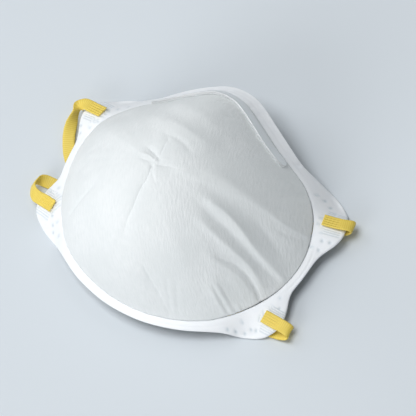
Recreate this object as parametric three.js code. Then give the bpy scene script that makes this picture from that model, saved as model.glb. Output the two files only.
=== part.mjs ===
// A disposable moulded-cup respirator, lying open side down as it rests by itself.
// Millimetres, +Z up, X from cheek to cheek, +Y towards the nose, Z = 0 the surface under it.
// The origin is under the middle of the mask.

import * as THREE from 'three';
import { mergeVertices } from 'three/addons/utils/BufferGeometryUtils.js';

const gap = 0.35; // clearance between neighbouring pieces
const stationCount = 112; // sections round the rim

const cup = {
  wall: 1.8, // three bonded layers
  apexY: 0.8,
  apexZ: 57,
  crown: 24, // how far the flat of the crown reaches from the apex
  rings: 16,
  liningRings: 8,
};

const flange = {
  thick: 1.2,
  across: [0, 0.35, 0.7, 0.86, 1], // from the crease to the outer edge
};

const strip = {
  width: 5,
  thick: 0.9,
  fromCrease: 5.2, // distance of its middle line up the cup wall
  endRow: 5.1, // the rim row that its ends reach
  stations: 30,
  taper: 0.6, // width share at its rounded ends
};

const strap = { width: 6, thick: 0.9, step: 3.2 };

// The rim, from the nose round the +X cheek to the chin; the other cheek mirrors it.
// x, y, z: the crease between cup and flange. reach: how far the flange runs out from it, drop: how far
// it falls over that reach, bow: how far its middle stands above (+) or below (-) a straight line.
// wall: the angle of the cup wall above the crease in degrees, pull: how far that angle carries.
const rimRows = [
  { x: 0, y: 51.1, z: 27.0, reach: 5.5, drop: 4.8, bow: -0.8, wall: 62, pull: 16 },
  { x: 5.6, y: 50.6, z: 26.8, reach: 5.5, drop: 4.8, bow: -0.8, wall: 61, pull: 16 },
  { x: 11.5, y: 48.4, z: 26.0, reach: 5.4, drop: 4.7, bow: -0.8, wall: 60, pull: 17 },
  { x: 20.5, y: 43.9, z: 24.1, reach: 5.2, drop: 4.4, bow: -0.8, wall: 58, pull: 20 },
  { x: 30.3, y: 38.7, z: 20.4, reach: 5.2, drop: 4.4, bow: -0.7, wall: 58, pull: 23 },
  { x: 38.6, y: 35.0, z: 16.6, reach: 4.9, drop: 5.2, bow: -0.5, wall: 60, pull: 26 },
  { x: 46.0, y: 31.6, z: 13.6, reach: 6.7, drop: 8.4, bow: 0, wall: 60, pull: 29 },
  { x: 51.9, y: 27.3, z: 12.2, reach: 10.3, drop: 13.6, bow: 0.5, wall: 58, pull: 31 },
  { x: 55.8, y: 23.4, z: 11.9, reach: 12.6, drop: 13.2, bow: 0.6, wall: 57, pull: 32 },
  { x: 58.7, y: 19.7, z: 11.8, reach: 13.9, drop: 7.0, bow: 0.6, wall: 56, pull: 33 },
  { x: 60.6, y: 16.2, z: 11.6, reach: 14.0, drop: 4.6, bow: 0.5, wall: 56, pull: 33 },
  { x: 61.9, y: 12.8, z: 11.2, reach: 12.7, drop: 3.5, bow: 0.4, wall: 56, pull: 34 },
  { x: 63.0, y: 9.3, z: 10.5, reach: 9.0, drop: 2.9, bow: 0.2, wall: 56, pull: 34 },
  { x: 63.8, y: 5.7, z: 9.8, reach: 5.1, drop: 2.4, bow: 0, wall: 56, pull: 34 },
  { x: 64.2, y: 0, z: 8.9, reach: 3.9, drop: 1.6, bow: 0, wall: 56, pull: 34 },
  { x: 63.5, y: -7.0, z: 8.3, reach: 3.9, drop: 1.3, bow: 0, wall: 57, pull: 34 },
  { x: 62.1, y: -12.3, z: 8.1, reach: 4.1, drop: 1.5, bow: 0, wall: 57, pull: 34 },
  { x: 60.8, y: -16.0, z: 8.1, reach: 7.3, drop: 1.8, bow: 0.2, wall: 58, pull: 34 },
  { x: 59.1, y: -19.8, z: 8.4, reach: 11.7, drop: 2.9, bow: 0.4, wall: 58, pull: 34 },
  { x: 57.1, y: -23.5, z: 8.7, reach: 14.4, drop: 3.8, bow: 0.5, wall: 59, pull: 34 },
  { x: 54.8, y: -27.1, z: 8.9, reach: 13.9, drop: 5.6, bow: 0.6, wall: 60, pull: 34 },
  { x: 51.9, y: -30.9, z: 9.1, reach: 11.9, drop: 10.2, bow: 0.6, wall: 61, pull: 34 },
  { x: 48.7, y: -34.6, z: 9.4, reach: 9.0, drop: 10.6, bow: 0.4, wall: 62, pull: 34 },
  { x: 44.9, y: -38.4, z: 9.6, reach: 6.0, drop: 5.6, bow: 0.2, wall: 63, pull: 34 },
  { x: 40.1, y: -42.2, z: 9.7, reach: 4.3, drop: 3.6, bow: 0, wall: 65, pull: 34 },
  { x: 33.6, y: -45.6, z: 9.6, reach: 4.0, drop: 2.4, bow: 0, wall: 67, pull: 34 },
  { x: 25.0, y: -49.0, z: 9.5, reach: 3.9, drop: 1.6, bow: 0, wall: 69, pull: 34 },
  { x: 12.0, y: -52.1, z: 9.5, reach: 3.8, drop: 1.2, bow: 0, wall: 71, pull: 34 },
  { x: 0, y: -53.0, z: 9.5, reach: 3.7, drop: 1.1, bow: 0, wall: 72, pull: 34 },
];

// Folds in the cup, seen from above: a ridge (height above 0) or a valley (below 0) along a short path
// of x, y points, with its half width.
const foldRows = [
  { path: [[-6, 4.5], [0, 2.5], [6, 2]], width: 3, height: -0.6 }, // pinch in the crown
  { path: [[0, -4], [0, -34]], width: 2, height: -0.3 }, // crease from the crown to the chin
  { path: [[31, -2], [42, -4], [52, -8.4], [61, -10.8]], width: 2.4, height: 1.1 }, // ridges to the +X cheek
  { path: [[31.5, -11.8], [41.7, -13.5], [49, -14.4], [56, -18.8]], width: 2.4, height: 1 },
  { path: [[26, 9.9], [42, 9.5], [61, 11]], width: 3.6, height: 0.7 },
  { path: [[38, -22.4], [48, -21.4], [55, -25.4]], width: 2.4, height: 0.6 },
  { path: [[28, 3], [44, 2.8], [55, -1]], width: 3, height: -0.7 }, // valleys between them
  { path: [[31, -6.6], [40.5, -8.3], [51, -11], [59.6, -13]], width: 2.2, height: -0.8 },
  { path: [[41, -19.4], [47, -18.2], [52, -19.4], [56, -23.2]], width: 2, height: -0.9 },
  { path: [[39.5, -31.5], [46.2, -37]], width: 2, height: 0.6 }, // ridges below that cheek
  { path: [[41, -28.8], [48.4, -34]], width: 2, height: 0.6 },
  { path: [[14.5, -41.2], [22.7, -48.2]], width: 2.4, height: -0.6 }, // chin crease
  { path: [[-16, 21.8], [-3, 21.2], [14, 20]], width: 3.6, height: 0.7 }, // across the nose side
  { path: [[-12, 26], [9, 26]], width: 2.6, height: -0.4 },
  { path: [[-14, 33], [7, 31.8]], width: 3, height: 0.6 },
  { path: [[-28, -18.5], [-40, -29]], width: 2.6, height: -0.5 }, // dents on the -X side
  { path: [[-45, 17], [-40, 19]], width: 4, height: -0.6 },
];

// The straps' middle lines, from the left tab to the right one: x, y, z, and across: the way the
// strap's width points there.
const upperStrapRows = [
  { x: -62.9, y: 21.6, z: 11.1, across: [0, 0.96, -0.27] },
  { x: -66.5, y: 21.7, z: 10.2, across: [0, 0.96, -0.27] },
  { x: -70.5, y: 21.9, z: 9.4, across: [0, 0.96, -0.27] },
  { x: -74.4, y: 22.0, z: 8.9, across: [0, 0.96, -0.2] },
  { x: -76.8, y: 20.4, z: 7.9, across: [0.2, 0.8, 0.5] },
  { x: -77.8, y: 17.2, z: 6.2, across: [0.3, 0.2, 0.9] },
  { x: -77.7, y: 12.8, z: 4.3, across: [-0.6, 0, 0.8] },
  { x: -76.6, y: 7.4, z: 2.4, across: [-0.93, -0.1, 0.36] },
  { x: -73.8, y: 2.2, z: 1.2, across: [-0.95, -0.3, 0.1] },
  { x: -70.0, y: -2.4, z: 0.6, across: [-0.6, -0.8, 0] },
  { x: -62.0, y: -6.2, z: 0.5, across: [-0.3, -0.95, 0] },
  { x: -46.0, y: -7.0, z: 0.5, across: [0, -1, 0] },
  { x: -24.0, y: -3.6, z: 0.5, across: [0.1, -1, 0] },
  { x: 0, y: 1.6, z: 0.5, across: [0.2, -1, 0] },
  { x: 24.0, y: 8.2, z: 0.5, across: [0.25, -1, 0] },
  { x: 44.0, y: 14.4, z: 0.6, across: [0.25, -1, 0] },
  { x: 58.0, y: 19.2, z: 1.2, across: [0.3, -0.95, 0] },
  { x: 67.4, y: 22.0, z: 2.9, across: [0.25, -0.96, 0.1] },
  { x: 73.2, y: 24.2, z: 4.4, across: [0.2, -0.96, 0.2] },
  { x: 75.8, y: 25.8, z: 6.5, across: [0.25, -0.95, 0.2] },
  { x: 74.0, y: 25.2, z: 8.2, across: [0.25, -0.95, 0.25] },
  { x: 71.0, y: 24.0, z: 8.7, across: [0.2, -0.94, 0.3] },
  { x: 67.0, y: 22.8, z: 9.8, across: [0.2, -0.94, 0.3] },
  { x: 62.6, y: 21.6, z: 11.25, across: [0.2, -0.94, 0.3] },
];

const lowerStrapRows = [
  { x: -59.6, y: -27.5, z: 9.1, across: [-0.1, 0.98, 0.2] },
  { x: -63.5, y: -26.9, z: 8.3, across: [-0.1, 0.98, 0.2] },
  { x: -67.5, y: -26.5, z: 7.45, across: [-0.1, 0.98, 0.2] },
  { x: -71.5, y: -26.2, z: 6.6, across: [-0.2, 0.97, 0.1] },
  { x: -75.0, y: -24.2, z: 5.8, across: [0, 0.8, 0.6] },
  { x: -77.2, y: -20.4, z: 4.4, across: [0.6, 0.4, 0.7] },
  { x: -76.0, y: -17.6, z: 2.6, across: [0.4, 0.8, 0.3] },
  { x: -71.4, y: -16.7, z: 1.3, across: [0, 1, 0] },
  { x: -65.0, y: -16.8, z: 0.65, across: [0, 1, 0] },
  { x: -48.0, y: -18.4, z: 0.55, across: [0.15, 1, 0] },
  { x: -24.0, y: -22.2, z: 0.55, across: [0.15, 1, 0] },
  { x: 0, y: -26.2, z: 0.55, across: [0.15, 1, 0] },
  { x: 24.0, y: -29.8, z: 0.55, across: [0.1, 1, 0] },
  { x: 46.0, y: -32.0, z: 0.55, across: [0.05, 1, 0] },
  { x: 61.0, y: -32.0, z: 0.55, across: [-0.1, 0.99, 0] },
  { x: 69.4, y: -31.4, z: 1.4, across: [-0.2, 0.98, 0] },
  { x: 73.8, y: -30.4, z: 3.0, across: [-0.15, 0.98, 0.1] },
  { x: 75.5, y: -29.3, z: 4.6, across: [-0.05, 0.98, 0.1] },
  { x: 73.4, y: -28.9, z: 6.1, across: [0, 0.98, 0.2] },
  { x: 69.6, y: -28.9, z: 6.5, across: [0, 0.98, 0.2] },
  { x: 65.6, y: -28.9, z: 7.3, across: [0, 0.98, 0.2] },
  { x: 61.4, y: -28.9, z: 8.3, across: [0, 0.98, 0.2] },
];

const materials = {
  cup: new THREE.MeshStandardMaterial({ color: 0xf1f3f5, roughness: 0.95, metalness: 0 }),
  flange: new THREE.MeshStandardMaterial({ color: 0xeaeef2, roughness: 0.7, metalness: 0 }),
  strip: new THREE.MeshStandardMaterial({ color: 0xdcdfe2, roughness: 0.3, metalness: 1 }),
  strap: new THREE.MeshStandardMaterial({ color: 0xedca3c, roughness: 0.8, metalness: 0 }),
};

// A closed body through sections of the same number of points, round a loop or with flat ends.
function sweep(sections, isLoop) {
  const size = sections[0].length;
  const spans = isLoop ? sections.length : sections.length - 1;
  const corners = [];
  const face = (a, b, c) => corners.push(a, b, c);
  for (let i = 0; i < spans; i += 1) {
    const here = sections[i];
    const next = sections[(i + 1) % sections.length];
    for (let k = 0; k < size; k += 1) {
      const m = (k + 1) % size;
      face(here[k], next[k], next[m]);
      face(here[k], next[m], here[m]);
    }
  }
  if (!isLoop) {
    const first = sections[0];
    const last = sections[sections.length - 1];
    for (let k = 1; k < size - 1; k += 1) {
      face(first[0], first[k], first[k + 1]);
      face(last[0], last[k + 1], last[k]);
    }
  }
  return closedGeometry(corners);
}

// Merges the shared corners, drops the empty faces at a pole and turns the faces outwards.
function closedGeometry(corners) {
  const loose = new THREE.BufferGeometry().setFromPoints(corners);
  const merged = mergeVertices(loose, 1e-4);
  const place = merged.getAttribute('position');
  const point = (i) => new THREE.Vector3().fromBufferAttribute(place, i);
  const index = merged.getIndex().array;
  const kept = [];
  let volume = 0;
  for (let i = 0; i < index.length; i += 3) {
    const [a, b, c] = index.subarray(i, i + 3);
    if (a !== b && b !== c && c !== a) {
      kept.push([a, b, c]);
      volume += point(a).dot(point(b).cross(point(c)));
    }
  }
  const facing = volume > 0 ? kept : kept.map(([a, b, c]) => [a, c, b]);
  const geometry = new THREE.BufferGeometry();
  geometry.setAttribute('position', place);
  geometry.setIndex(facing.flat());
  geometry.computeVertexNormals();
  return geometry;
}

// The whole rim: the rows, then the same rows mirrored back to the nose.
const otherCheek = rimRows.slice(1, -1).reverse().map((row) => ({ ...row, x: -row.x }));
const wholeRim = [...rimRows, ...otherCheek];
const rimCurve = (read) => new THREE.CatmullRomCurve3(
  wholeRim.map((row) => new THREE.Vector3(...read(row))), true, 'catmullrom', 0.5);
const creaseCurve = rimCurve((row) => [row.x, row.y, row.z]);
const edgeCurve = rimCurve((row) => [row.reach, row.drop, row.bow]);
const wallCurve = rimCurve((row) => [row.wall, row.pull, 0]);
const wrap = (at) => at - Math.floor(at);
const rowPlace = (row) => row / wholeRim.length; // a row's place round the rim, from 0 to 1

function outwardAt(at) {
  const step = 0.002;
  const along = creaseCurve.getPoint(wrap(at + step)).sub(creaseCurve.getPoint(wrap(at - step)));
  return new THREE.Vector3(-along.y, along.x, 0).normalize();
}

// The flange: share runs from 0 at the crease to 1 at the outer edge.
// Depth runs from 0 on its top to its thickness underneath, where the tabs' tips are pressed flat.
function flangePoint(at, share, depth) {
  const edge = edgeCurve.getPoint(wrap(at));
  const slope = share > 0 ? Math.atan2(edge.y, edge.x) : 0;
  const spot = creaseCurve.getPoint(wrap(at));
  const out = gap + (edge.x - gap) * share - depth * Math.sin(slope);
  spot.addScaledVector(outwardAt(at), out);
  spot.z += edge.z * 4 * share * (1 - share) - edge.y * share - depth * Math.cos(slope);
  spot.z = Math.max(spot.z, flange.thick - depth);
  return spot;
}

// Stations that are evenly spread along the crease and the outer edge together.
function evenStations(count) {
  const steps = 2000;
  const lengths = [0];
  for (let i = 1; i <= steps; i += 1) {
    const [before, now] = [(i - 1) / steps, i / steps];
    const crease = flangePoint(before, 0, 0).distanceTo(flangePoint(now, 0, 0));
    const edge = flangePoint(before, 1, 0).distanceTo(flangePoint(now, 1, 0));
    lengths.push(lengths[i - 1] + crease + edge);
  }
  const stations = [];
  for (let i = 0, k = 0; k < count; k += 1) {
    const target = (lengths[steps] * k) / count;
    while (lengths[i + 1] < target) i += 1;
    const part = (target - lengths[i]) / (lengths[i + 1] - lengths[i]);
    stations.push((i + part) / steps);
  }
  return stations;
}

// The cup: rise runs from 0 at the crease to 1 at the apex.
function cupSmooth(at, rise) {
  const apex = new THREE.Vector3(0, cup.apexY, cup.apexZ);
  const foot = creaseCurve.getPoint(wrap(at));
  const wall = wallCurve.getPoint(wrap(at));
  const inward = new THREE.Vector3(apex.x - foot.x, apex.y - foot.y, 0).normalize();
  const angle = THREE.MathUtils.degToRad(wall.x);
  const shoulder = foot.clone().addScaledVector(inward, wall.y * Math.cos(angle));
  shoulder.z += wall.y * Math.sin(angle);
  const crown = apex.clone().addScaledVector(inward, -cup.crown);
  return new THREE.CubicBezierCurve3(foot, shoulder, crown, apex).getPoint(rise);
}

function cupNormal(at, rise) {
  const step = 0.003;
  const low = Math.min(Math.max(rise, step), 1 - 4 * step);
  const round = cupSmooth(at + step, low).sub(cupSmooth(at - step, low));
  const up = cupSmooth(at, low + step).sub(cupSmooth(at, low - step));
  const normal = up.cross(round).normalize();
  return rise > 1 - step ? new THREE.Vector3(0, 0, 1) : normal;
}

function foldHeight(x, y) {
  const spot = new THREE.Vector3(x, y, 0);
  const nearest = new THREE.Vector3();
  let height = 0;
  for (const fold of foldRows) {
    const points = fold.path.map(([px, py]) => new THREE.Vector3(px, py, 0));
    const distances = points.slice(1).map((point, i) =>
      new THREE.Line3(points[i], point).closestPointToPoint(spot, true, nearest).distanceTo(spot));
    const away = Math.min(...distances) / fold.width;
    height += fold.height * Math.exp(-away * away);
  }
  return height;
}

function cupPoint(at, rise, depth) {
  const spot = cupSmooth(at, rise);
  const fold = foldHeight(spot.x, spot.y) * Math.min(1, rise * 8);
  return spot.addScaledVector(cupNormal(at, rise), fold - depth);
}

function cupShell(stations) {
  const sections = stations.map((at) => {
    const outside = [];
    const inside = [];
    for (let i = 0; i <= cup.rings; i += 1) outside.push(cupPoint(at, i / cup.rings, 0));
    for (let i = cup.liningRings; i >= 0; i -= 1) {
      inside.push(cupPoint(at, i / cup.liningRings, cup.wall));
    }
    return [...outside, ...inside];
  });
  return sweep(sections, true);
}

function edgeFlange(stations) {
  const sections = stations.map((at) => [
    ...flange.across.map((share) => flangePoint(at, share, 0)),
    ...flange.across.toReversed().map((share) => flangePoint(at, share, flange.thick)),
  ]);
  return sweep(sections, true);
}

// How far up the cup wall the strip's middle line lies, as a rise.
function stripRise(at) {
  const foot = cupSmooth(at, 0);
  let rise = 0;
  while (cupSmooth(at, rise).distanceTo(foot) < strip.fromCrease) rise += 0.002;
  return rise;
}

function noseStrip() {
  const sections = [];
  const line = (at) => cupSmooth(at, stripRise(at));
  for (let i = 0; i <= strip.stations; i += 1) {
    const side = (2 * i) / strip.stations - 1;
    const at = rowPlace(strip.endRow) * side;
    const isEnd = Math.abs(side) === 1;
    const normal = cupNormal(at, stripRise(at));
    const along = line(at + 0.002).sub(line(at - 0.002)).normalize();
    const half = ((isEnd ? strip.taper : 1) * strip.width) / 2;
    const across = normal.clone().cross(along).normalize().multiplyScalar(half);
    const low = line(at).addScaledVector(normal, gap);
    const high = low.clone().addScaledVector(normal, strip.thick);
    sections.push([
      low.clone().sub(across), low.clone().add(across), high.clone().add(across), high.clone().sub(across),
    ]);
  }
  return sweep(sections, false);
}

// A flat strap along its rows, with its width kept square to the way it runs.
function flatStrap(rows) {
  const middle = new THREE.CatmullRomCurve3(rows.map((row) => new THREE.Vector3(row.x, row.y, row.z)));
  const widths = new THREE.CatmullRomCurve3(
    rows.map((row) => new THREE.Vector3(...row.across)), false, 'catmullrom', 0.5);
  const steps = Math.round(middle.getLength() / strap.step);
  const sections = [];
  for (let i = 0; i <= steps; i += 1) {
    const along = middle.getTangentAt(i / steps);
    const across = widths.getPoint(middle.getUtoTmapping(i / steps));
    across.addScaledVector(along, -across.dot(along)).setLength(strap.width / 2);
    const thick = along.clone().cross(across).setLength(strap.thick / 2);
    const spot = middle.getPointAt(i / steps);
    sections.push([[1, 1], [1, -1], [-1, -1], [-1, 1]].map(([wide, high]) =>
      spot.clone().addScaledVector(across, wide).addScaledVector(thick, high)));
  }
  return sweep(sections, false);
}

const mask = new THREE.Group();

function addPiece(name, geometry, material) {
  const piece = new THREE.Mesh(geometry, material);
  piece.name = name;
  mask.add(piece);
}

const stations = evenStations(stationCount);
addPiece('cup_shell', cupShell(stations), materials.cup);
addPiece('edge_flange', edgeFlange(stations), materials.flange);
addPiece('nose_strip', noseStrip(), materials.strip);
addPiece('upper_strap', flatStrap(upperStrapRows), materials.strap);
addPiece('lower_strap', flatStrap(lowerStrapRows), materials.strap);

export default mask;
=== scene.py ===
import math

import bmesh
import bpy
import numpy as np
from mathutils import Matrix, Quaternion, Vector
from mathutils.bvhtree import BVHTree
from mathutils.kdtree import KDTree


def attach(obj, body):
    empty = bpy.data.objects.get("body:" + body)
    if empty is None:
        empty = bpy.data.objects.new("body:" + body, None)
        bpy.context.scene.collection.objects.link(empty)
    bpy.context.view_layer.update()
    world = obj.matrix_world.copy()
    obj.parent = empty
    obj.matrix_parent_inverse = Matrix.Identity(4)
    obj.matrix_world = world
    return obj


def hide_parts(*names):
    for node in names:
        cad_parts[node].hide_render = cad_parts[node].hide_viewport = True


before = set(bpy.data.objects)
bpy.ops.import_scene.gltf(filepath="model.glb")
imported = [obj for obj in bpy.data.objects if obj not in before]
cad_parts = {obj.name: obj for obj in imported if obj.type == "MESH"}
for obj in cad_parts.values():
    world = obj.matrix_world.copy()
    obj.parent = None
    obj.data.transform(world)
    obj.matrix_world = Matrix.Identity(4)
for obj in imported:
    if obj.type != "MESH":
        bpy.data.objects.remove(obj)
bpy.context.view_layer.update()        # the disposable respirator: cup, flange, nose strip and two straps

scene = bpy.context.scene
scene.view_settings.view_transform = "Standard"
mm = 0.001
print("stage: frame loaded")


def linearColor(code):
    # sRGB hex to the linear values that shaders take
    parts = [int(code[i:i + 2], 16) / 255 for i in (1, 3, 5)]
    return [c / 12.92 if c <= 0.04045 else ((c + 0.055) / 1.055) ** 2.4 for c in parts] + [1.0]


def addPiece(name, mesh):
    piece = bpy.data.objects.new(name, mesh)
    scene.collection.objects.link(piece)
    return piece


def smoothShade(mesh):
    for face in mesh.polygons:
        face.use_smooth = True


def bakeModifiers(piece):
    # the piece keeps what its modifiers make, and drops them
    graph = bpy.context.evaluated_depsgraph_get()
    mesh = bpy.data.meshes.new_from_object(piece.evaluated_get(graph))
    piece.modifiers.clear()
    piece.data = mesh


def meshPoints(mesh):
    flat = np.empty(len(mesh.vertices) * 3)
    mesh.vertices.foreach_get("co", flat)
    return flat.reshape(-1, 3)


def meshNormals(mesh):
    flat = np.empty(len(mesh.vertices) * 3)
    mesh.vertex_normals.foreach_get("vector", flat)
    return flat.reshape(-1, 3)


def movePoints(mesh, points):
    mesh.vertices.foreach_set("co", np.asarray(points).ravel())
    mesh.update()


def quadCopy(nodeName):
    # a copy of a frame node's mesh, merged and mostly in quads
    bm = bmesh.new()
    bm.from_mesh(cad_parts[nodeName].data)
    bmesh.ops.remove_doubles(bm, verts=bm.verts, dist=0.01 * mm)
    bmesh.ops.join_triangles(bm, faces=bm.faces, angle_face_threshold=1.2, angle_shape_threshold=1.6)
    return bm


def finePatch(nodeName, pieceName, levels, holdEdge=None):
    # that copy made finer and rounder; holdEdge says how sharp an edge stays
    bm = quadCopy(nodeName)
    hold = bm.edges.layers.float.new("crease_edge")
    for edge in bm.edges:
        edge[hold] = holdEdge(edge) if holdEdge else 0
    mesh = bpy.data.meshes.new(pieceName)
    bm.to_mesh(mesh)
    bm.free()
    piece = addPiece(pieceName, mesh)
    finer = piece.modifiers.new("finer", "SUBSURF")
    finer.levels = finer.render_levels = levels
    bakeModifiers(piece)
    return piece


# the camera stands far off with a long lens
viewpoint = dict(
    lookAt=(6.4 * mm, 4.65 * mm, 4.5 * mm),
    azimuth=-21.85,     # degrees from +X
    elevation=59.2,
    roll=-38.7,
    distance=2.5,
    lens=482,
    sensorWidth=36,
)

cameraData = bpy.data.cameras.new("camera")
cameraData.lens = viewpoint["lens"]
cameraData.sensor_width = viewpoint["sensorWidth"]
camera = bpy.data.objects.new("camera", cameraData)
scene.collection.objects.link(camera)
scene.camera = camera
turn, rise = math.radians(viewpoint["azimuth"]), math.radians(viewpoint["elevation"])
back = Vector((math.cos(rise) * math.cos(turn), math.cos(rise) * math.sin(turn), math.sin(rise)))
camera.location = Vector(viewpoint["lookAt"]) + back * viewpoint["distance"]
camera.rotation_mode = "QUATERNION"
rollTurn = Quaternion((0, 0, 1), math.radians(viewpoint["roll"]))
camera.rotation_quaternion = back.to_track_quat("Z", "Y") @ rollTurn
print("stage: camera set")


# straps: flat elastic bands
strapLook = dict(
    width=6.0,
    thick=0.9,
    step=0.5,           # length of one section
    ease=6,             # rounds that soften the route's corners
    weldLength=8.0,     # the stretch at each end that is pressed into the tab
    weldThick=0.62,
    ribs=5,             # ridges that the welding horn leaves
    ribHeight=0.13,
    knitRibs=9,         # finer ridges of the free band
    knitHeight=0.03,
    bulge=0.1,          # the band swells where it leaves the weld
    bulgeAt=1.6,
    bulgeReach=1.1,
    narrowing=0.03,     # share by which the free band is narrower, and by which its width wavers
    waver=0.01,
    waverRate=1.7,
    linesAround=50,     # half of them on each side
)

# each strap's route in millimetres: a place, and the way that the band's width points there
upperRoute = [
    ((-62.9, 21.6, 11.1), (0, 0.96, -0.27)),
    ((-66.5, 21.7, 10.2), (0, 0.96, -0.27)),
    ((-70.5, 21.9, 9.4), (0, 0.96, -0.27)),
    ((-74.4, 22.0, 8.9), (0, 0.96, -0.2)),
    ((-76.8, 20.4, 7.9), (0.2, 0.8, 0.5)),
    ((-77.8, 17.2, 6.2), (0.3, 0.2, 0.9)),
    ((-77.7, 12.8, 4.3), (-0.6, 0, 0.8)),
    ((-76.6, 7.4, 2.4), (-0.93, -0.1, 0.36)),
    ((-73.8, 2.2, 1.2), (-0.95, -0.3, 0.1)),
    ((-70.0, -2.4, 0.6), (-0.6, -0.8, 0)),
    ((-62.0, -6.2, 0.5), (-0.3, -0.95, 0)),
    ((-46.0, -7.0, 0.5), (0, -1, 0)),
    ((-24.0, -3.6, 0.5), (0.1, -1, 0)),
    ((0, 1.6, 0.5), (0.2, -1, 0)),
    ((24.0, 8.2, 0.5), (0.25, -1, 0)),
    ((44.0, 14.4, 0.6), (0.25, -1, 0)),
    ((58.0, 19.2, 1.2), (0.3, -0.95, 0)),
    ((67.4, 22.0, 2.9), (0.25, -0.96, 0.1)),
    ((73.2, 24.2, 4.4), (0.2, -0.96, 0.2)),
    ((75.8, 25.8, 6.5), (0.25, -0.95, 0.2)),
    ((74.0, 25.2, 8.2), (0.25, -0.95, 0.25)),
    ((71.0, 24.0, 8.7), (0.2, -0.94, 0.3)),
    ((67.0, 22.8, 9.8), (0.2, -0.94, 0.3)),
    ((62.6, 21.6, 11.25), (0.2, -0.94, 0.3)),
]

lowerRoute = [
    ((-59.6, -27.5, 9.1), (-0.1, 0.98, 0.2)),
    ((-63.5, -26.9, 8.3), (-0.1, 0.98, 0.2)),
    ((-67.5, -26.5, 7.45), (-0.1, 0.98, 0.2)),
    ((-71.5, -26.2, 6.6), (-0.2, 0.97, 0.1)),
    ((-75.0, -24.2, 5.8), (0, 0.8, 0.6)),
    ((-77.2, -20.4, 4.4), (0.6, 0.4, 0.7)),
    ((-76.0, -17.6, 2.6), (0.4, 0.8, 0.3)),
    ((-71.4, -16.7, 1.3), (0, 1, 0)),
    ((-65.0, -16.8, 0.65), (0, 1, 0)),
    ((-48.0, -18.4, 0.55), (0.15, 1, 0)),
    ((-24.0, -22.2, 0.55), (0.15, 1, 0)),
    ((0, -26.2, 0.55), (0.15, 1, 0)),
    ((24.0, -29.8, 0.55), (0.1, 1, 0)),
    ((46.0, -32.0, 0.55), (0.05, 1, 0)),
    ((61.0, -32.0, 0.55), (-0.1, 0.99, 0)),
    ((69.4, -31.4, 1.4), (-0.2, 0.98, 0)),
    ((73.8, -30.4, 3.0), (-0.15, 0.98, 0.1)),
    ((75.5, -29.3, 4.6), (-0.05, 0.98, 0.1)),
    ((73.4, -28.9, 6.1), (0, 0.98, 0.2)),
    ((69.6, -28.9, 6.5), (0, 0.98, 0.2)),
    ((65.6, -28.9, 7.3), (0, 0.98, 0.2)),
    ((61.4, -28.9, 8.3), (0, 0.98, 0.2)),
]


def smoothLine(points, spacing):
    # a centripetal spline through the points, cut into even steps
    points = np.array(points, float)
    first, last = 2 * points[0] - points[1], 2 * points[-1] - points[-2]
    knots = np.vstack([first, points, last])
    dense = []
    for p0, p1, p2, p3 in zip(knots, knots[1:], knots[2:], knots[3:]):
        times = np.cumsum([0] + [max(np.linalg.norm(b - a), 1e-9) ** 0.5
                                 for a, b in ((p0, p1), (p1, p2), (p2, p3))])
        t0, t1, t2, t3 = times
        for t in np.linspace(t1, t2, 24, endpoint=False):
            a1 = (p0 * (t1 - t) + p1 * (t - t0)) / (t1 - t0)
            a2 = (p1 * (t2 - t) + p2 * (t - t1)) / (t2 - t1)
            a3 = (p2 * (t3 - t) + p3 * (t - t2)) / (t3 - t2)
            b1 = (a1 * (t2 - t) + a2 * (t - t0)) / (t2 - t0)
            b2 = (a2 * (t3 - t) + a3 * (t - t1)) / (t3 - t1)
            dense.append((b1 * (t2 - t) + b2 * (t - t1)) / (t2 - t1))
    dense = np.array(dense + [points[-1]])
    lengths = np.r_[0, np.cumsum(np.linalg.norm(np.diff(dense, axis=0), axis=1))]
    count = max(2, round(lengths[-1] / spacing))
    even = np.linspace(0, lengths[-1], count + 1)
    return np.column_stack([np.interp(even, lengths, dense[:, k]) for k in range(dense.shape[1])])


def unit(rows):
    return rows / np.maximum(np.linalg.norm(rows, axis=-1, keepdims=True), 1e-12)


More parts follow.
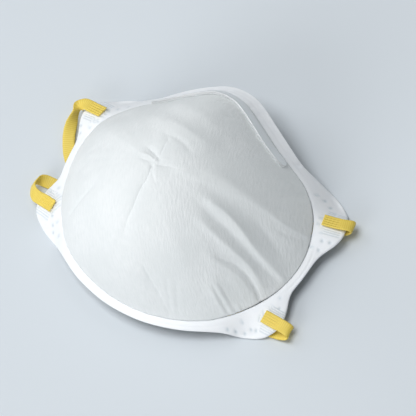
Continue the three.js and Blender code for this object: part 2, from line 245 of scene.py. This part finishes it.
def layBand(name, route, look):
    stops = np.array([place for place, way in route], float)
    stopWays = look["width"] * np.array([way for place, way in route])
    places = smoothLine(stops, look["step"])
    count = len(places) - 1
    marks = np.r_[0, np.cumsum(np.linalg.norm(np.diff(stops, axis=0), axis=1))]
    ways = np.column_stack([np.interp(np.linspace(0, marks[-1], count + 1), marks, stopWays[:, k])
                            for k in range(3)])
    for _ in range(look["ease"] * 4):
        places[1:-1] = (places[:-2] + 2 * places[1:-1] + places[2:]) / 4
    for _ in range(look["ease"] * 12):
        ways[1:-1] = (ways[:-2] + 2 * ways[1:-1] + ways[2:]) / 4
    along = unit(np.gradient(places, axis=0))
    ways = unit(ways - along * np.sum(ways * along, axis=1, keepdims=True))
    rises = np.cross(along, ways)
    if rises[0][2] < 0:
        rises = -rises
    run = np.r_[0, np.cumsum(np.linalg.norm(np.diff(places, axis=0), axis=1))]
    fromEnd = np.minimum(run, run[-1] - run)
    weld = np.clip((look["weldLength"] + 0.5 - fromEnd) / 1.0, 0, 1)
    weld = weld * weld * (3 - 2 * weld)

    bm = bmesh.new()
    bandMap = bm.loops.layers.uv.new("bandMap")
    meltedLayer = bm.verts.layers.float.new("melted")
    bmesh.ops.create_grid(bm, x_segments=look["linesAround"], y_segments=count, size=0.5)
    for face in bm.faces:
        for loop in face.loops:
            loop[bandMap].uv = (loop.vert.co.x * 2 * look["width"], loop.vert.co.y * run[-1])
    for vert in bm.verts:
        turnShare = vert.co.x + 0.5
        k = round((vert.co.y + 0.5) * count)
        top = turnShare <= 0.5
        across = 4 * turnShare - 1 if top else 3 - 4 * turnShare
        side = 1 if top else -1
        thick = look["thick"] * (1 - weld[k]) + look["weldThick"] * weld[k]
        pastWeld = fromEnd[k] - look["weldLength"] - look["bulgeAt"]
        bulge = look["bulge"] * math.exp(-(pastWeld / look["bulgeReach"]) ** 2)
        height = (thick / 2 + bulge) * math.sqrt(max(0, 1 - abs(across) ** 5))
        edgeFade = max(0, 1 - abs(across) ** 8)
        wave = math.cos(math.pi * look["ribs"] * across)
        knit = math.cos(math.pi * look["knitRibs"] * across)
        height += edgeFade * (weld[k] * look["ribHeight"] * wave
                              + (1 - weld[k]) * look["knitHeight"] * knit)
        waver = look["waver"] * math.sin(run[k] * look["waverRate"])
        half = look["width"] / 2 * (1 - look["narrowing"] * (1 - weld[k]) + waver)
        spot = places[k] + ways[k] * across * half + rises[k] * side * height
        vert[meltedLayer] = weld[k]
        vert.co = Vector(spot * mm)
    bmesh.ops.remove_doubles(bm, verts=bm.verts, dist=0.004 * mm)
    rims = [edge for edge in bm.edges if edge.is_boundary]
    bmesh.ops.holes_fill(bm, edges=rims, sides=0)
    bmesh.ops.recalc_face_normals(bm, faces=bm.faces)
    mesh = bpy.data.meshes.new(name)
    bm.to_mesh(mesh)
    bm.free()
    smoothShade(mesh)
    piece = addPiece(name, mesh)
    print("stage: strap", name, "is", round(float(run[-1]), 1), "mm long")
    return piece


upperStrap = layBand("upperStrapBand", upperRoute, strapLook)
lowerStrap = layBand("lowerStrapBand", lowerRoute, strapLook)
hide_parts("upper_strap")
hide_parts("lower_strap")


# cup: the frame's shell, finer, with its creases and folds pressed in
cupLook = dict(
    levels=2,
    middle=(0, 0, 5),       # millimetres, inside the cup
    footAngle=0.9,          # radians: only the edges round its foot are this sharp
    footSharpness=0.85,
    steepBelow=0.7,         # an edge that runs round the cup less than this is cut once more
)


def footHold(edge):
    # the two edges round the cup's foot stay where the frame has them
    return cupLook["footSharpness"] if edge.calc_face_angle(0) > cupLook["footAngle"] else 0


# each fold: its path in millimetres seen from above, half width, height (ridge above 0, valley below),
# sharpness (2 is soft and round, 1 comes to a line) and its strength at the path's two ends
foldTable = [
    # the pinch in the crown
    dict(path=[(-9, 2), (-6, 2.8), (-3, 2.4), (0, 1.7)], width=0.8, height=0.42, sharp=1.4, ends=(0.2, 1)),
    dict(path=[(-8, 5.8), (-5, 5.2), (-2, 4.4), (1, 3.2)], width=0.8, height=-0.6, sharp=1.3, ends=(0.1, 1)),
    dict(path=[(-8, -0.2), (-4.8, 0.2), (-1.6, 0.1)], width=0.8, height=-0.28, sharp=1.5, ends=(0.1, 0.8)),
    dict(path=[(-0.3, -0.8), (0.6, -1.3)], width=0.55, height=-0.5, sharp=1.4, ends=(1, 1)),
    dict(path=[(0.3, 0.1), (4, 1.2), (7, 2.2), (11, 3)], width=0.8, height=-0.3, sharp=1.5, ends=(1, 0.1)),
    dict(path=[(0.6, 2.2), (2.5, 3.4), (6, 5.5)], width=1.1, height=0.2, sharp=2, ends=(0.6, 0.2)),
    dict(path=[(-3.4, 15.2), (1, 15.6), (6, 15), (12, 13)], width=1.3, height=-0.36, sharp=1.6,
         ends=(0.6, 0.1)),
    dict(path=[(-1.6, 13.8), (-0.5, 12.6)], width=0.8, height=-0.3, sharp=1.5, ends=(0.8, 0.8)),
    dict(path=[(-0.8, 11.6), (-0.2, 8.5), (0.4, 5.4)], width=0.5, height=-0.3, sharp=1.2, ends=(0.6, 0.6)),
    # the crease from the crown to the chin
    dict(path=[(-0.3, -1.2), (0.6, -4.6), (0.9, -7), (0.6, -9.8), (0.2, -12.7), (0.3, -17), (0.3, -21),
               (-0.4, -26), (-0.6, -32.7)], width=0.5, height=-0.6, sharp=1.0, ends=(0.5, 0.05)),
    dict(path=[(0.3, -2.1), (2.7, -4.8), (5.7, -7.5)], width=0.8, height=-0.22, sharp=1.5, ends=(0.9, 0)),
    # the fan of folds to the cheek at +X
    dict(path=[(28.5, -2), (35, -1.9), (42, -3.8), (49.3, -7.4), (55, -9.3), (61, -10.6)],
         width=1.2, height=0.55, sharp=1.3, ends=(0.05, 1)),
    dict(path=[(30, -6.4), (37.7, -7.3), (44, -9.1), (50.9, -11), (59.6, -12.6)],
         width=1.3, height=-0.4, sharp=1.6, ends=(0.1, 0.6)),
    dict(path=[(31.5, -11.7), (38.4, -13), (45, -13.9), (50.7, -15.1), (55.8, -18.8)],
         width=1.3, height=0.4, sharp=1.5, ends=(0.1, 0.8)),
    dict(path=[(38, -20.6), (41.3, -19.5), (44.7, -18.3), (47.2, -18.1), (49.6, -18.4), (52.2, -19.6),
               (54.4, -21.1), (56.3, -23.6)], width=0.6, height=-0.85, sharp=1.1, ends=(0, 1)),
    dict(path=[(38.2, -22.2), (45, -20.8), (50, -21.5), (54.8, -24.6)], width=1.1, height=0.3, sharp=1.7,
         ends=(0.1, 0.6)),
    dict(path=[(28.4, 9.9), (37, 9.6), (46, 9.2), (54, 9.1), (61, 11)], width=2.0, height=0.25, sharp=2,
         ends=(0, 0.6)),
    dict(path=[(49, 8.8), (54, 9.0), (57.5, 9.8), (61.2, 11.1)], width=0.8, height=0.35, sharp=1.3,
         ends=(0, 1)),
    dict(path=[(51, 4.8), (56.1, 5.9), (61.6, 8.4)], width=1.1, height=-0.32, sharp=1.6, ends=(0, 0.7)),
    dict(path=[(45, 2.6), (51.9, 0.3), (58, -3)], width=1.6, height=-0.25, sharp=2, ends=(0.3, 0.3)),
    dict(path=[(40.8, -28.7), (45.6, -32.2), (48.6, -34.2)], width=0.8, height=0.42, sharp=1.5,
         ends=(0.1, 1)),
    dict(path=[(39.6, -31.6), (44.9, -35.7), (46.8, -37.4)], width=0.8, height=0.42, sharp=1.5,
         ends=(0.1, 1)),
    dict(path=[(40.4, -30.2), (44, -33), (47.6, -35.8)], width=0.7, height=-0.35, sharp=1.5, ends=(0.1, 1)),
    dict(path=[(42.4, -28), (46, -30.6), (49.2, -33)], width=0.7, height=-0.25, sharp=1.6, ends=(0, 0.8)),
    dict(path=[(49.3, -30.7), (51.6, -32.6)], width=0.8, height=0.32, sharp=1.5, ends=(0.3, 1)),
    dict(path=[(26, -16), (31, -17), (36, -17)], width=2.4, height=0.25, sharp=2, ends=(0, 0)),
    # the chin
    dict(path=[(10, -37.5), (14.3, -41.3), (17.1, -43.2), (19.7, -45), (23, -48.5)], width=0.55, height=-0.5,
         sharp=1.1, ends=(0, 1)),
    dict(path=[(22, -38), (22.9, -41), (23.8, -47.5)], width=0.9, height=-0.25, sharp=1.6, ends=(0, 0.8)),
    dict(path=[(26.4, -36.5), (27, -41), (27.6, -47.5)], width=0.9, height=-0.22, sharp=1.8, ends=(0, 0.6)),
    # the nose side
    dict(path=[(-9.6, 22.8), (3, 21.7), (13.6, 20.3)], width=1.6, height=0.22, sharp=1.8, ends=(0, 0.3)),
    dict(path=[(7.3, 37.7), (10, 39.9), (13.6, 43.4)], width=0.5, height=-0.4, sharp=1.2, ends=(0, 1)),
    dict(path=[(6.2, 39.2), (9.0, 41.6), (11.4, 44)], width=0.6, height=-0.22, sharp=1.4, ends=(0, 1)),
    dict(path=[(-1, 40.8), (1.3, 43.6), (4.7, 45.2)], width=0.7, height=-0.3, sharp=1.5, ends=(0.2, 0.8)),
    dict(path=[(20, 25), (24, 29), (27, 33)], width=3.4, height=0.18, sharp=2, ends=(0, 0.4)),
    # the sides
    dict(path=[(45.5, 18.5), (47.8, 21.9), (50.8, 27.6)], width=0.7, height=-0.28, sharp=1.5, ends=(0, 1)),
    dict(path=[(41.5, 27.2), (46.6, 29.6)], width=0.9, height=-0.2, sharp=1.8, ends=(0, 0.7)),
    dict(path=[(-27, -18), (-33, -23.6), (-38, -27.6), (-42.5, -31)], width=0.8, height=-0.36, sharp=1.3,
         ends=(0, 0.8)),
    dict(path=[(-30, -20), (-35, -23.2), (-40, -26)], width=1.5, height=0.2, sharp=2, ends=(0, 0.2)),
    dict(path=[(-38, -5.6), (-43, -9), (-50.5, -14.6)], width=1.8, height=-0.22, sharp=2, ends=(0, 0.2)),
    dict(path=[(-34, 0.5), (-41.3, -1.4), (-48.6, -8)], width=1.8, height=-0.2, sharp=2, ends=(0, 0.2)),
]


def distanceToLine(points, line):
    # the distance from each point to a line of short pieces, and how far along it, from 0 to 1
    nearest = np.full(len(points), 1e9)
    share = np.zeros(len(points))
    for k, (start, end) in enumerate(zip(line, line[1:])):
        way = end - start
        t = np.clip((points - start) @ way / (way @ way), 0, 1)
        gap = np.linalg.norm(points - start - t[:, None] * way, axis=1)
        closer = gap < nearest
        nearest[closer] = gap[closer]
        share[closer] = (k + t[closer]) / (len(line) - 1)
    return nearest, share


def surfaceLine(path, tree):
    # a path seen from above, dropped on the surface
    line = []
    for x, y in smoothLine(path, 1.5):
        hit = tree.ray_cast(Vector((x * mm, y * mm, 0.2)), Vector((0, 0, -1)))[0]
        if hit is not None:
            line.append(np.array(hit) / mm)
    return np.array(line)


def pressFolds(mesh, folds):
    # moves the points of both walls in or out along the folds
    points = meshPoints(mesh) / mm
    normals = meshNormals(mesh)
    bm = bmesh.new()
    bm.from_mesh(mesh)
    tree = BVHTree.FromBMesh(bm)
    bm.free()
    outside = np.sign(np.sum(normals * (points - np.array(cupLook["middle"])), axis=1))
    shift = np.zeros(len(points))
    for fold in folds:
        line = surfaceLine(fold["path"], tree)
        reach = fold["width"] * 4
        near = np.all((points > line.min(0) - reach) & (points < line.max(0) + reach), axis=1)
        gap, share = distanceToLine(points[near], line)
        start, end = fold["ends"]
        swell = np.sin(np.pi * np.clip(share, 0, 1)) ** 0.6
        strength = start + (end - start) * share
        strength = np.maximum(strength, swell)
        shift[near] += fold["height"] * strength * np.exp(-(gap / fold["width"]) ** fold["sharp"])
    movePoints(mesh, (points + normals * (outside * shift)[:, None]) * mm)


cup = finePatch("cup_shell", "cupFelt", cupLook["levels"], footHold)
bm = bmesh.new()
bm.from_mesh(cup.data)
cupMiddle = Vector(cupLook["middle"]) * mm
outer = [face for face in bm.faces if face.normal.dot(face.calc_center_median() - cupMiddle) > 0]
steep = set()
for face in outer:
    for edge in face.edges:
        a, b = (v.co for v in edge.verts)
        middle = (a + b) / 2
        around = Vector((-middle.y, middle.x, 0)).normalized()
        if abs((b - a).normalized().dot(around)) < cupLook["steepBelow"]:
            steep.add(edge)
bmesh.ops.subdivide_edges(bm, edges=list(steep), cuts=1, use_grid_fill=True)
bm.to_mesh(cup.data)
bm.free()
pressFolds(cup.data, foldTable)
smoothShade(cup.data)
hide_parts("cup_shell")
print("stage: cup has", len(cup.data.polygons), "faces")


# flange: the welded edge with its four tabs
flangeLook = dict(
    levels=2,
    tuck=0.85,          # how far its inner edge runs in under the cup's foot
    tuckReach=1.3,
    tabFrom=4.6,        # beyond this distance from the cup it is a tab, and gets a finer top
    tabCuts=3,
    channelAt=1.0,      # the shallow channel round the cup, and the welded line outside it
    channelReach=0.75,
    channelDepth=0.06,
    innerLift=0.2,      # its inner edge is pressed up against the cup
    innerReach=0.7,
    lineAt=2.4,
    lineReach=0.35,
    lineDepth=0.16,
    weldPitch=1.05,     # the horn's parallel lines beside each strap end
    weldGap=0.35,       # from the strap to the first of them
    weldLines=3,
    weldTo=9.2,         # how far they run out along the strap
    weldDepth=0.15,
    dotRadius=0.62,
    dotDepth=0.24,
    middle=(0, -3, 0),
)

# x and y of the embossed dots on the tabs, in millimetres seen from above
weldDots = [
    (52.2, 31.0), (55.8, 30.8), (59.5, 29.3), (63.2, 27.6),
    (64.5, 8.5), (67.6, 8.7), (67.1, 13.0), (70.4, 14.0),
    (52.8, -35.3), (51.4, -40.0), (55.0, -38.7), (57.2, -36.1), (59.5, -35.5),
    (63.3, -18.2), (65.6, -22.4), (67.6, -26.0), (48.4, -41.2), (60.2, -16.4),
    (-68.6, 8.8), (-70.4, 12.0), (-62.3, 24.0), (-62.8, 16.6), (-64.8, 12.6),
    (-58.6, 26.6), (-54.6, 29.6),
    (-58.4, -31.2), (-55.3, -37.2), (-54.2, -32.7), (-50.4, -38.0),
    (-62.9, -18.4), (-66.0, -21.4), (-56.5, -34.6),
]

# small puckers in the flange where it bends round the nose
nosePuckers = [
    dict(path=[(9, 51.2), (11.2, 55)], width=0.9, height=-0.35),
    dict(path=[(14, 49), (17, 52.6)], width=0.9, height=-0.35),
    dict(path=[(19, 46.6), (22.4, 50)], width=1.1, height=-0.25),
    dict(path=[(-6, 52), (-7.4, 56)], width=1.1, height=-0.25),
    dict(path=[(-13, 50), (-15.6, 53.6)], width=1.2, height=-0.25),
    dict(path=[(38.6, 38.4), (40.6, 40.6)], width=0.7, height=-0.5),
]


def footLine():
    # points close together all round the cup's foot, where the flange starts
    bm = quadCopy("cup_shell")
    parts = 24
    foot = [edge.verts[0].co.lerp(edge.verts[1].co, part / parts) / mm
            for edge in bm.edges if footHold(edge) for part in range(parts)]
    bm.free()
    return foot


def bump(away, reach):
    return np.exp(-(away / reach) ** 2)


def weldPattern(points, look):
    # how deep the welding horn has pressed each point, from 0 to 1
    pressed = np.zeros(len(points))
    pitch, gap = look["weldPitch"], look["weldGap"]
    for route in (upperRoute, upperRoute[::-1], lowerRoute, lowerRoute[::-1]):
        start, way = np.array(route[0][0]), np.array(route[1][0]) - np.array(route[0][0])
        way[2] = 0
        way = way / np.linalg.norm(way)
        side = np.array((-way[1], way[0], 0))
        out = (points - start) @ way
        across = np.abs((points - start) @ side)
        beside = across - strapLook["width"] / 2
        lines = 0.5 - 0.5 * np.cos(2 * np.pi * (beside - gap) / pitch)
        lines *= (beside > gap) & (beside < gap + look["weldLines"] * pitch)
        lines *= np.clip((out + 0.6) / 0.5, 0, 1) * np.clip((look["weldTo"] - out) / 0.8, 0, 1)
        ends = 0.5 - 0.5 * np.cos(2 * np.pi * (-out - gap) / pitch)
        ends *= (out < -gap) & (out > -gap - 2 * pitch)
        ends *= np.clip((strapLook["width"] / 2 + 0.3 - across) / 0.5, 0, 1)
        pressed = np.maximum(pressed, np.maximum(lines, ends))
    return pressed


flange = finePatch("edge_flange", "weldedFlange", flangeLook["levels"])
foot = footLine()
footTree, flatFootTree = KDTree(len(foot)), KDTree(len(foot))
for k, spot in enumerate(foot):
    footTree.insert(spot, k)
    flatFootTree.insert(Vector((spot.x, spot.y, 0)), k)
footTree.balance()
flatFootTree.balance()


def footGaps(points):
    return np.array([flatFootTree.find(Vector((x, y, 0)))[2] for x, y, z in points])


bm = bmesh.new()
bm.from_mesh(flange.data)
middles = np.array([face.calc_center_median() for face in bm.faces]) / mm
middleGaps = footGaps(middles)
tabEdges = {edge for face, middle, gap in zip(bm.faces, middles, middleGaps)
            if face.normal.z > 0.25 and gap > flangeLook["tabFrom"] and middle[1] < 36 for edge in face.edges}
tabEdges = [edge for edge in tabEdges if edge.calc_length() > 0.5 * mm]
fine = bmesh.ops.subdivide_edges(bm, edges=tabEdges, cuts=flangeLook["tabCuts"], use_grid_fill=True)
fineVerts = [v for v in fine["geom_inner"] if isinstance(v, bmesh.types.BMVert)]
for _ in range(3):
    bmesh.ops.smooth_vert(bm, verts=fineVerts, factor=0.5, use_axis_x=True, use_axis_y=True, use_axis_z=True)
bm.to_mesh(flange.data)
bm.free()
flange.data.update()

points = meshPoints(flange.data) / mm
normals = meshNormals(flange.data)
fromFoot = footGaps(points)
inward = unit(np.array(flangeLook["middle"]) - points * (1, 1, 0))
onTop = np.clip(normals[:, 2] / 0.3, 0, 1)
welds = weldPattern(points, flangeLook)
dots = np.zeros(len(points))
for x, y in weldDots:
    away = np.hypot(points[:, 0] - x, points[:, 1] - y)
    dots = np.maximum(dots, bump(away, flangeLook["dotRadius"]) ** 0.8)
line = bump(fromFoot - flangeLook["lineAt"], flangeLook["lineReach"]) * np.clip((welds < 0.05), 0.2, 1)
channel = bump(fromFoot - flangeLook["channelAt"], flangeLook["channelReach"])
sink = (flangeLook["channelDepth"] * channel + flangeLook["lineDepth"] * line
        + flangeLook["weldDepth"] * welds + flangeLook["dotDepth"] * dots)
for pucker in nosePuckers:
    path = np.array(pucker["path"], float)
    gap, _ = distanceToLine(points[:, :2], path)
    sink -= pucker["height"] * bump(gap, pucker["width"])
points -= normals * (onTop * sink)[:, None]
points[:, 2] += flangeLook["innerLift"] * onTop * bump(fromFoot, flangeLook["innerReach"])
points += inward * (flangeLook["tuck"] * bump(fromFoot, flangeLook["tuckReach"]))[:, None]
movePoints(flange.data, points * mm)
pressedLayer = flange.data.attributes.new("pressed", "FLOAT", "POINT")
pressedLayer.data.foreach_set("value", np.clip(onTop * np.maximum(0.8 * dots, 0.6 * welds), 0, 1))
smoothShade(flange.data)
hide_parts("edge_flange")
print("stage: flange has", len(flange.data.polygons), "faces")


# nose strip
stripLook = dict(
    levels=2,
    edgeRadius=0.4,
    sink=0.3,           # its underside is pressed into the felt, towards the middle of the cup
    lift=0.2,           # and its edge on the crown's side stands up a little
    middle=(0, -3, -3),
    lineFromFoot=5.2,   # its middle line and its crown-side edge, up from the cup's foot
    edgeFromLine=2.4,
    sharpFrom=0.9,      # radians, and the length that leaves out the short edges of its ends
    longFrom=1.2,
)


def stripHold(edge):
    isSharp = edge.calc_face_angle(0) > stripLook["sharpFrom"]
    return 1 if isSharp and edge.calc_length() > stripLook["longFrom"] * mm else 0


strip = finePatch("nose_strip", "noseStripMetal", stripLook["levels"], stripHold)
rounding = strip.modifiers.new("rounding", "BEVEL")
rounding.width = stripLook["edgeRadius"] * mm
rounding.segments = 4
rounding.limit_method = "ANGLE"
rounding.angle_limit = math.radians(40)
bakeModifiers(strip)
points = meshPoints(strip.data) / mm
settle = unit(points - np.array(stripLook["middle"]))
crownSide = np.array([footTree.find(Vector(p))[2] for p in points])
crownSide = np.clip((crownSide - stripLook["lineFromFoot"]) / stripLook["edgeFromLine"], 0, 1)
cupTree = BVHTree.FromObject(cup, bpy.context.evaluated_depsgraph_get())
height = np.array([cupTree.find_nearest(Vector(p * mm))[3] for p in points]) / mm
topShare = np.clip((height - 0.4) / 0.7, 0, 1)
shift = stripLook["lift"] * crownSide * topShare - stripLook["sink"] * (1 - topShare * 0.6)
movePoints(strip.data, (points + settle * shift[:, None]) * mm)
smoothShade(strip.data)
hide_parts("nose_strip")
print("stage: strip has", len(strip.data.polygons), "faces")


def newMaterial(name):
    material = bpy.data.materials.new(name)
    material.use_nodes = True
    nodes = material.node_tree.nodes
    nodes.clear()
    output = nodes.new("ShaderNodeOutputMaterial")
    shader = nodes.new("ShaderNodeBsdfPrincipled")
    material.node_tree.links.new(shader.outputs[0], output.inputs[0])
    return material, shader


def addNode(material, kind, settings=(), values=(), links=()):
    # one node: its settings, its unlinked values, and links as (socket of this node, other node's output)
    node = material.node_tree.nodes.new(kind)
    for key, value in dict(settings).items():
        setattr(node, key, value)
    for key, value in dict(values).items():
        node.inputs[key].default_value = value
    for key, output in dict(links).items():
        material.node_tree.links.new(output, node.inputs[key])
    return node


# needle-punched polyester felt, hot-moulded: matt and cool white, with the web's fine broken ribs, a soft
# fibre grain between them and hardly any sheen. The ribs stand 1.3 mm apart and run a few millimetres each.
felt, feltShader = newMaterial("needledPolyesterFelt")
feltShader.inputs["Roughness"].default_value = 0.92
feltShader.inputs["Sheen Weight"].default_value = 0.06
feltShader.inputs["Sheen Roughness"].default_value = 0.6
place = addNode(felt, "ShaderNodeTexCoord")
turned = addNode(felt, "ShaderNodeMapping", values={"Rotation": (0, 0, math.radians(-25))},
                 links={"Vector": place.outputs["Object"]})
ribPlace = addNode(felt, "ShaderNodeMapping", values={"Scale": (1250, 300, 260)},
                   links={"Vector": turned.outputs[0]})
ribs = addNode(felt, "ShaderNodeTexNoise", values={"Scale": 1.0, "Detail": 1.5, "Roughness": 0.5},
               links={"Vector": ribPlace.outputs[0]})
ribPatches = addNode(felt, "ShaderNodeTexNoise", values={"Scale": 45.0, "Detail": 1.0},
                     links={"Vector": place.outputs["Object"]})
ribStrength = addNode(felt, "ShaderNodeMapRange",
                      values={"From Min": 0.35, "From Max": 0.65, "To Min": 0.45, "To Max": 1.0},
                      links={"Value": ribPatches.outputs["Fac"]})
ribHeight = addNode(felt, "ShaderNodeMath", {"operation": "MULTIPLY"},
                    links={0: ribs.outputs["Fac"], 1: ribStrength.outputs[0]})
# single fibres are too fine to show, so the grain is drawn as 0.5 mm tufts
grain = addNode(felt, "ShaderNodeTexNoise", values={"Scale": 2600.0, "Detail": 3.0, "Roughness": 0.6},
                links={"Vector": place.outputs["Object"]})
feltRelief = addNode(felt, "ShaderNodeMath", {"operation": "MULTIPLY_ADD"}, values={1: 0.3},
                     links={0: grain.outputs["Fac"], 2: ribHeight.outputs[0]})
feltBump = addNode(felt, "ShaderNodeBump", values={"Strength": 0.7, "Distance": 0.0003},
                   links={"Height": feltRelief.outputs[0]})
felt.node_tree.links.new(feltBump.outputs[0], feltShader.inputs["Normal"])
feltTone = addNode(felt, "ShaderNodeMix", {"data_type": "RGBA"},
                   values={6: linearColor("#e6eaea"), 7: linearColor("#f6f8f8")},
                   links={0: feltRelief.outputs[0]})
felt.node_tree.links.new(feltTone.outputs[2], feltShader.inputs["Base Color"])

# spunbonded polyester, calendered and welded flat: whiter and a little glossier than the felt, and
# bluish and smooth where the horn has melted it
web, webShader = newMaterial("weldedPolyesterWeb")
webShader.inputs["IOR"].default_value = 1.5
webPlace = addNode(web, "ShaderNodeTexCoord")
pressed = addNode(web, "ShaderNodeAttribute", {"attribute_name": "pressed"})
webGrain = addNode(web, "ShaderNodeTexNoise", values={"Scale": 1500.0, "Detail": 3.0, "Roughness": 0.6},
                   links={"Vector": webPlace.outputs["Object"]})
webClouds = addNode(web, "ShaderNodeTexNoise", values={"Scale": 220.0, "Detail": 2.0},
                    links={"Vector": webPlace.outputs["Object"]})
webTone = addNode(web, "ShaderNodeMix", {"data_type": "RGBA"},
                  values={6: linearColor("#f4f7fb"), 7: linearColor("#fdfeff")},
                  links={0: webClouds.outputs["Fac"]})
webWelded = addNode(web, "ShaderNodeMix", {"data_type": "RGBA"}, values={7: linearColor("#ccd7de")},
                    links={0: pressed.outputs["Fac"], 6: webTone.outputs[2]})
web.node_tree.links.new(webWelded.outputs[2], webShader.inputs["Base Color"])
webGloss = addNode(web, "ShaderNodeMapRange", values={"To Min": 0.62, "To Max": 0.34},
                   links={"Value": pressed.outputs["Fac"]})
web.node_tree.links.new(webGloss.outputs[0], webShader.inputs["Roughness"])
webBump = addNode(web, "ShaderNodeBump", values={"Strength": 0.25, "Distance": 0.0001},
                  links={"Height": webGrain.outputs["Fac"]})
web.node_tree.links.new(webBump.outputs[0], webShader.inputs["Normal"])

# soft aluminium strip, rolled: satin and bright, with fine rolling lines that blur its reflections
metal, metalShader = newMaterial("rolledAluminium")
metalShader.inputs["Base Color"].default_value = linearColor("#fafbfb")
metalShader.inputs["Metallic"].default_value = 1.0
metalPlace = addNode(metal, "ShaderNodeTexCoord")
rollPlace = addNode(metal, "ShaderNodeMapping", values={"Scale": (120, 2600, 2600)},
                    links={"Vector": metalPlace.outputs["Object"]})
rollLines = addNode(metal, "ShaderNodeTexNoise", values={"Scale": 1.0, "Detail": 2.0},
                    links={"Vector": rollPlace.outputs[0]})
metalGloss = addNode(metal, "ShaderNodeMapRange", values={"To Min": 0.46, "To Max": 0.58},
                     links={"Value": rollLines.outputs["Fac"]})
metal.node_tree.links.new(metalGloss.outputs[0], metalShader.inputs["Roughness"])
metalBump = addNode(metal, "ShaderNodeBump", values={"Strength": 0.15, "Distance": 0.00005},
                    links={"Height": rollLines.outputs["Fac"]})
metal.node_tree.links.new(metalBump.outputs[0], metalShader.inputs["Normal"])

# knitted polyisoprene elastic: warm yellow yarn with lengthwise wales and fine courses across, and a
# flatter, darker and glossier stretch where each end is melted into its tab
elastic, elasticShader = newMaterial("knittedElasticBand")
elasticShader.inputs["Sheen Weight"].default_value = 0.1
bandPlace = addNode(elastic, "ShaderNodeUVMap", {"uv_map": "bandMap"})
melted = addNode(elastic, "ShaderNodeAttribute", {"attribute_name": "melted"})
courses = addNode(elastic, "ShaderNodeTexWave", {"wave_type": "BANDS", "bands_direction": "Y"},
                  values={"Scale": 0.35, "Distortion": 0.6, "Detail": 1.0},
                  links={"Vector": bandPlace.outputs[0]})
yarn = addNode(elastic, "ShaderNodeTexNoise", values={"Scale": 2.2, "Detail": 3.0},
               links={"Vector": bandPlace.outputs[0]})
knit = addNode(elastic, "ShaderNodeMath", {"operation": "MULTIPLY_ADD"}, values={1: 0.6},
               links={0: yarn.outputs["Fac"], 2: courses.outputs["Fac"]})
bandTone = addNode(elastic, "ShaderNodeMix", {"data_type": "RGBA"},
                   values={6: linearColor("#e6c43c"), 7: linearColor("#f3d968")},
                   links={0: knit.outputs[0]})
bandMelted = addNode(elastic, "ShaderNodeMix", {"data_type": "RGBA"}, values={7: linearColor("#f2d55c")},
                     links={0: melted.outputs["Fac"], 6: bandTone.outputs[2]})
elastic.node_tree.links.new(bandMelted.outputs[2], elasticShader.inputs["Base Color"])
bandGloss = addNode(elastic, "ShaderNodeMapRange", values={"To Min": 0.6, "To Max": 0.4},
                    links={"Value": melted.outputs["Fac"]})
elastic.node_tree.links.new(bandGloss.outputs[0], elasticShader.inputs["Roughness"])
bandBump = addNode(elastic, "ShaderNodeBump", values={"Strength": 0.3, "Distance": 0.00012},
                   links={"Height": knit.outputs[0]})
elastic.node_tree.links.new(bandBump.outputs[0], elasticShader.inputs["Normal"])

for piece, material, slot in (
    (cup, felt, "cup_felt"), (flange, web, "flange_web"), (strip, metal, "nose_metal"),
    (upperStrap, elastic, "strap_elastic"), (lowerStrap, elastic, "strap_elastic"),
):
    piece.data.materials.clear()
    piece.data.materials.append(material)
    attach(piece, "root")
print("stage: materials set")


floorLook = dict(half=3.0, color="#d8dee3", roughness=0.7)
bm = bmesh.new()
bmesh.ops.create_grid(bm, x_segments=1, y_segments=1, size=floorLook["half"])
floorMesh = bpy.data.meshes.new("floor")
bm.to_mesh(floorMesh)
bm.free()
floor = addPiece("floor", floorMesh)
floorPaint, floorShader = newMaterial("paleTable")
floorShader.inputs["Base Color"].default_value = linearColor(floorLook["color"])
floorShader.inputs["Roughness"].default_value = floorLook["roughness"]
floorMesh.materials.append(floorPaint)

# two wide soft lamps from the side and the chin, one from above, and a weak even fill
roomLook = dict(color="#f4f6f5", strength=0.16)
world = bpy.data.worlds.new("softRoom")
scene.world = world
world.use_nodes = True
fill = world.node_tree.nodes["Background"]
fill.inputs[0].default_value = linearColor(roomLook["color"])
fill.inputs[1].default_value = roomLook["strength"]

lightSetup = [
    dict(name="windowLeft", toward=(-0.74, 0, 0.67), distance=2.0, size=1.2, power=9.5, color="#fbfdff"),
    dict(name="windowFront", toward=(-0.1, -0.92, 0.38), distance=2.0, size=1.2, power=15.5, color="#fbfdff"),
    dict(name="skyAbove", toward=(-0.05, 0, 1), distance=2.0, size=1.2, power=24, color="#f9fcff"),
]
for light in lightSetup:
    lamp = bpy.data.lights.new(light["name"], "AREA")
    lamp.size = light["size"]
    lamp.energy = light["power"]
    lamp.color = linearColor(light["color"])[:3]
    lampObject = bpy.data.objects.new(light["name"], lamp)
    scene.collection.objects.link(lampObject)
    toward = Vector(light["toward"]).normalized()
    lampObject.location = toward * light["distance"]
    lampObject.rotation_mode = "QUATERNION"
    lampObject.rotation_quaternion = toward.to_track_quat("Z", "Y")
print("stage: light set")
